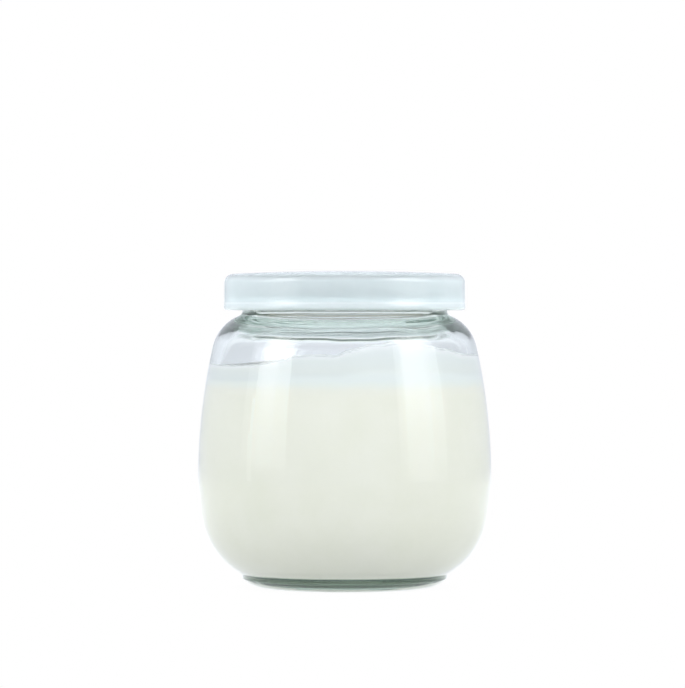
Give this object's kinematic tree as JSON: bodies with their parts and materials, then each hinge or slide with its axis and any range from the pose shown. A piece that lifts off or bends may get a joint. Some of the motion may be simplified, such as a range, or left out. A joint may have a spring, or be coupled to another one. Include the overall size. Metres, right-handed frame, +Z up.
{
  "type": "glass pudding jar with press-on lid",
  "caption": "Squat round-shouldered glass jar filled with milk pudding, shut by a milky press-on plastic lid.",
  "frame": {"origin": "middle of the ring that the jar stands on, in the plane of that ring", "axes": "+Z up along the axis that the jar and its lid are turned about, -Y towards the viewer"},
  "size_m": [0.075, 0.075, 0.0808],
  "materials": {
    "jar_glass": "clear container glass with a faint green tint in its thick base, smooth and glossy",
    "lid_plastic": "milky translucent polyethylene with a satin surface",
    "milk_pudding": "smooth cream-white set milk pudding, moist"
  },
  "bodies": {
    "root": {"jar": "jar_glass", "lid": "lid_plastic", "pudding": "milk_pudding"}
  },
  "joints": []
}
